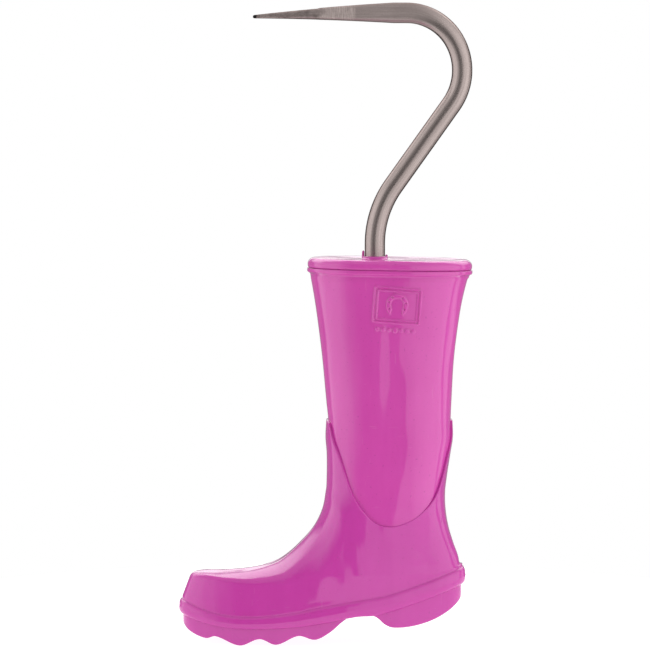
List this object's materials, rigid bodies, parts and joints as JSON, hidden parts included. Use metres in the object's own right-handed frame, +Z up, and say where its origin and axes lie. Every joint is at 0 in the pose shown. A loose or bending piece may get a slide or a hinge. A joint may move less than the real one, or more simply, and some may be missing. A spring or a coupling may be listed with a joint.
{
  "type": "hoof pick",
  "caption": "Hoof pick: a bent steel bar with a flat tapered point, set in a hollow plastic handle moulded as a Wellington boot.",
  "frame": {"origin": "centre of the bounding box in plan, at the height of the lowest sole lug", "axes": "+Z up along the boot's leg, toe toward -X, Y across the boot, which is symmetric about Y = 0"},
  "size_m": [0.0724, 0.0306, 0.157],
  "materials": {
    "pink_plastic": "glossy injection-moulded plastic, magenta pink",
    "steel": "satin drawn steel, forged and ground at the point"
  },
  "bodies": {
    "root": {"hook": "steel", "cuff_cap": "pink_plastic", "leg_shell": "pink_plastic", "foot_shell": "pink_plastic", "bottom_plate": "pink_plastic", "forepart_sole": "pink_plastic", "heel_block": "pink_plastic", "tang_core": "pink_plastic", "tang_pin": "steel"}
  },
  "joints": []
}
